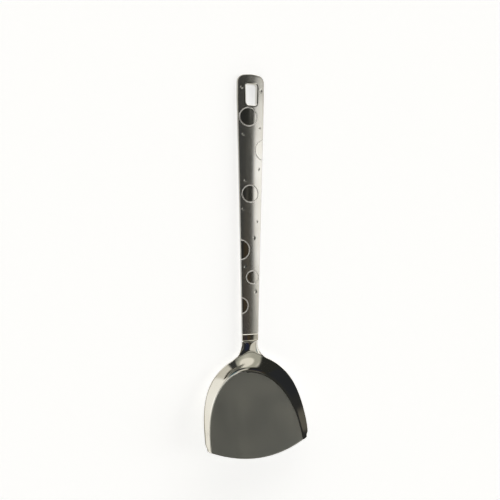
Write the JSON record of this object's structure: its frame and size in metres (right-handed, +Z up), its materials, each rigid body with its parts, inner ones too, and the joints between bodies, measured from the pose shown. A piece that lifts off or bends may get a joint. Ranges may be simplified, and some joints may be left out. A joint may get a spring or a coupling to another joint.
{
  "type": "wok spatula",
  "caption": "Stainless steel wok spatula: shovel blade with a raised flange, polished collar and a slim hollow handle with a lined hanging slot.",
  "frame": {"origin": "centre of the bounding box at its bottom, on the table that the spatula rests on", "axes": "+X to the right across the blade, +Y from the blade's leading edge to the handle's hanging end, +Z up out of the bowl"},
  "size_m": [0.1094, 0.3728, 0.0375],
  "materials": {
    "polished_blade": "stainless steel, mirror polished flange and neck, satin floor",
    "polished_collar": "stainless steel, mirror polished",
    "satin_handle": "stainless steel, satin with polished rings and pits",
    "polished_lip": "stainless steel, bright polished"
  },
  "bodies": {
    "root": {"blade": "polished_blade", "neck_collar": "polished_collar", "handle_front_shell": "satin_handle", "handle_back_shell": "satin_handle", "hang_slot_liner": "polished_lip"}
  },
  "joints": []
}
